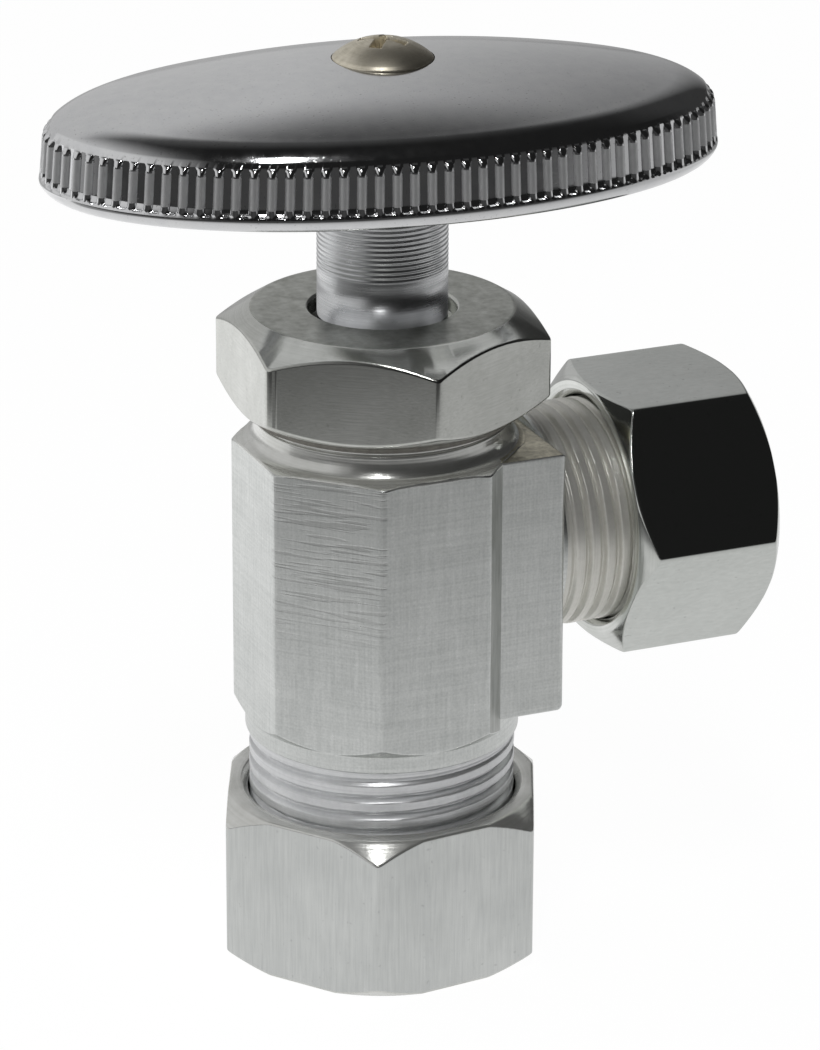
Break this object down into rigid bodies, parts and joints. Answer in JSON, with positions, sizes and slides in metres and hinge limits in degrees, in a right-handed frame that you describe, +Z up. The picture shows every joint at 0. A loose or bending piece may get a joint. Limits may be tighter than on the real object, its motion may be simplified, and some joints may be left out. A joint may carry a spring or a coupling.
{
  "type": "angle stop valve",
  "caption": "Multi-turn angle stop valve with hex compression nuts on its inlet and side outlet, a screw-in bonnet, a rising stem and an oval fluted handle.",
  "frame": {"origin": "centre of the inlet nut's mouth, on the stem's axis", "axes": "+Z up the stem towards the handle, +X out along the outlet"},
  "size_m": [0.0551, 0.0304, 0.0729],
  "materials": {
    "satin_chrome": "satin chrome plate over turned and milled brass",
    "bonnet_chrome": "bright chrome plate on turned chamfers, satin on the flats",
    "nut_chrome": "satin chrome plate with drawn grain along the flats",
    "stem_chrome": "turned and plated",
    "mirror_chrome": "polished die casting, mirror chrome plate",
    "antique_brass": "dull antique brass plate",
    "bare_brass": "turned, unplated",
    "gasket_fibre": "pressed fibre",
    "ptfe": "cut from PTFE sheet",
    "black_rubber": "moulded"
  },
  "bodies": {
    "body": {"valve_body": "satin_chrome", "bonnet": "bonnet_chrome", "bonnet_gasket": "gasket_fibre", "stem_o_ring_lower": "black_rubber", "stem_o_ring_upper": "black_rubber"},
    "swivel_disc": {"disc_holder": "bare_brass", "seat_washer": "black_rubber"},
    "spindle": {"stem": "stem_chrome", "backseat_ring": "ptfe", "disc_screw": "bare_brass", "handle": "mirror_chrome", "handle_screw": "antique_brass"},
    "inlet_sleeve": {"inlet_sleeve": "bare_brass"},
    "inlet_nut": {"inlet_nut": "nut_chrome"},
    "outlet_sleeve": {"outlet_sleeve": "bare_brass"},
    "outlet_nut": {"outlet_nut": "nut_chrome"}
  },
  "joints": [
    {"name": "stem_travel", "type": "slide", "parent": "body", "child": "swivel_disc", "axis": [0, 0, 1], "range_m": [-0.006, 0]},
    {"name": "stem_turn", "type": "hinge", "parent": "swivel_disc", "child": "spindle", "pos_m": [0, 0, 0.0373], "axis": [0, 0, 1], "range_deg": [-1080, 0]},
    {"name": "inlet_nut_travel", "type": "slide", "parent": "body", "child": "inlet_sleeve", "axis": [0, 0, 1], "range_m": [-0.00494, 0.00047]},
    {"name": "inlet_nut_turn", "type": "hinge", "parent": "inlet_sleeve", "child": "inlet_nut", "pos_m": [0, 0, 0], "axis": [0, 0, 1], "range_deg": [-1260, 120]},
    {"name": "outlet_nut_travel", "type": "slide", "parent": "body", "child": "outlet_sleeve", "axis": [1, 0, 0], "range_m": [-0.00042, 0.00445]},
    {"name": "outlet_nut_turn", "type": "hinge", "parent": "outlet_sleeve", "child": "outlet_nut", "pos_m": [0.0291, 0, 0.03314], "axis": [1, 0, 0], "range_deg": [-120, 1260]}
  ],
  "couplings": [
    {"joint": "stem_turn", "follows": "stem_travel", "rad_per_m": 3141.6},
    {"joint": "inlet_nut_turn", "follows": "inlet_nut_travel", "rad_per_m": 4453},
    {"joint": "outlet_nut_turn", "follows": "outlet_nut_travel", "rad_per_m": 4947.4}
  ]
}
